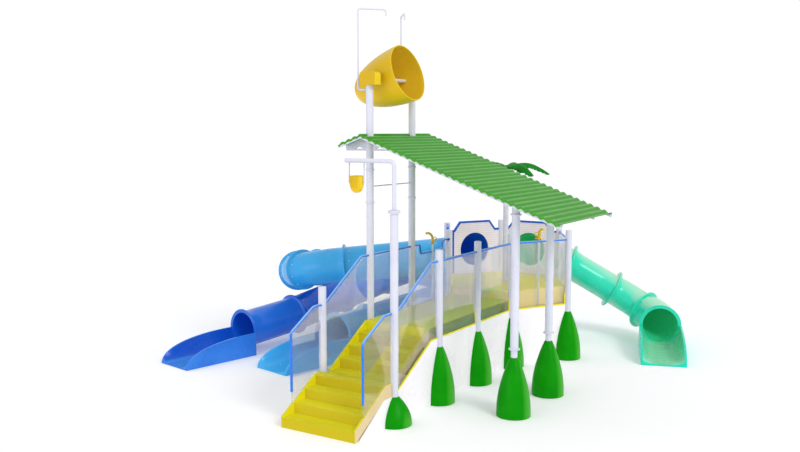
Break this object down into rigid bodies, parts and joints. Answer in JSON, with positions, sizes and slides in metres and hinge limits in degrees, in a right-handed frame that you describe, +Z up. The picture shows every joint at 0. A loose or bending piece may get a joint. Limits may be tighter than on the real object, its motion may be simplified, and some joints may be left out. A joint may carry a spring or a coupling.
{
  "type": "water slide tower",
  "caption": "Water play tower with a stair and guarded decks, enclosed tube slides, a ribbed roof and tipping buckets.",
  "frame": {"origin": "centre of the underside of the right front deck post's footing, on the ground", "axes": "+Z up, +Y along the stair run towards the decks, +X to the roof's long side"},
  "size_m": [9.5779, 10.1802, 7.1986],
  "materials": {
    "white_coat": "smooth powder coat",
    "cone_green": "moulded, glossy",
    "yellow_moulding": "moulded, lightly textured treads",
    "white_panel": "smooth sheet",
    "clear_sheet": "clear with a faint lavender tint",
    "sky_moulding": "gel coat, glossy",
    "deep_moulding": "gel coat, glossy",
    "sea_moulding": "gel coat, glossy",
    "roof_green": "coated ribbed sheet",
    "amber_moulding": "gel coat, glossy"
  },
  "bodies": {
    "structure": {"post_b": "white_coat", "post_c": "white_coat", "post_d": "white_coat", "post_p4": "white_coat", "post_g": "white_coat", "post_h": "white_coat", "post_i": "white_coat", "post_j": "white_coat", "post_landing_left": "white_coat", "post_landing_right": "white_coat", "post_roof_front": "white_coat", "post_roof_back": "white_coat", "post_tower_front": "white_coat", "post_tower_back": "white_coat", "skirt_right": "white_panel", "skirt_left": "white_panel", "skirt_dg": "white_panel", "skirt_gh": "white_panel", "skirt_hi": "white_panel", "skirt_ij": "white_panel", "skirt_jp4": "white_panel", "entry_panel_green": "white_panel", "entry_panel_deep": "white_panel", "entry_panel_sky": "white_panel", "lower_flight": "yellow_moulding", "upper_flight": "yellow_moulding", "main_deck": "yellow_moulding", "hex_deck": "yellow_moulding", "guard_lower_right": "clear_sheet", "guard_lower_left": "clear_sheet", "guard_upper_right": "clear_sheet", "guard_upper_left": "clear_sheet", "guard_deck_right_1": "clear_sheet", "guard_deck_right_2": "clear_sheet", "guard_deck_left_1": "clear_sheet", "guard_deck_left_2": "clear_sheet", "guard_hex_front": "clear_sheet", "guard_hex_side": "clear_sheet", "slide_sky": "sky_moulding", "runout_sky": "sky_moulding", "slide_deep": "deep_moulding", "runout_deep": "deep_moulding", "slide_green": "sea_moulding", "runout_green": "sea_moulding", "roof_sheet": "roof_green", "roof_frame_front": "white_coat", "roof_frame_back": "white_coat", "tie_rod": "white_coat", "shower_arm": "white_coat", "cannon_1_pipe": "white_coat", "cannon_2_pipe": "white_coat", "palm_trunk": "white_coat", "bearing_front": "amber_moulding", "bearing_back": "amber_moulding", "palm_crown": "cone_green"},
    "big_bucket": {"big_bucket": "amber_moulding"},
    "small_bucket": {"small_bucket": "amber_moulding"},
    "cannon_1": {"cannon_1": "amber_moulding"},
    "cannon_2": {"cannon_2": "amber_moulding"}
  },
  "joints": [
    {"name": "big_bucket_tip", "type": "hinge", "parent": "structure", "child": "big_bucket", "pos_m": [-1.52, 0.75, 5.9], "axis": [0, 1, 0], "range_deg": [-72, 30]},
    {"name": "small_bucket_tip", "type": "hinge", "parent": "structure", "child": "small_bucket", "pos_m": [-0.75, -1.5, 4.09], "axis": [1, 0, 0], "range_deg": [-100, 100]},
    {"name": "cannon_1_swivel", "type": "hinge", "parent": "structure", "child": "cannon_1", "pos_m": [-1.45, 2.25, 2.5804], "axis": [0, 0, 1], "range_deg": [-60, 60]},
    {"name": "cannon_2_swivel", "type": "hinge", "parent": "structure", "child": "cannon_2", "pos_m": [0.3317, 3.67452, 2.6504], "axis": [0, 0, 1], "range_deg": [-60, 60]}
  ]
}
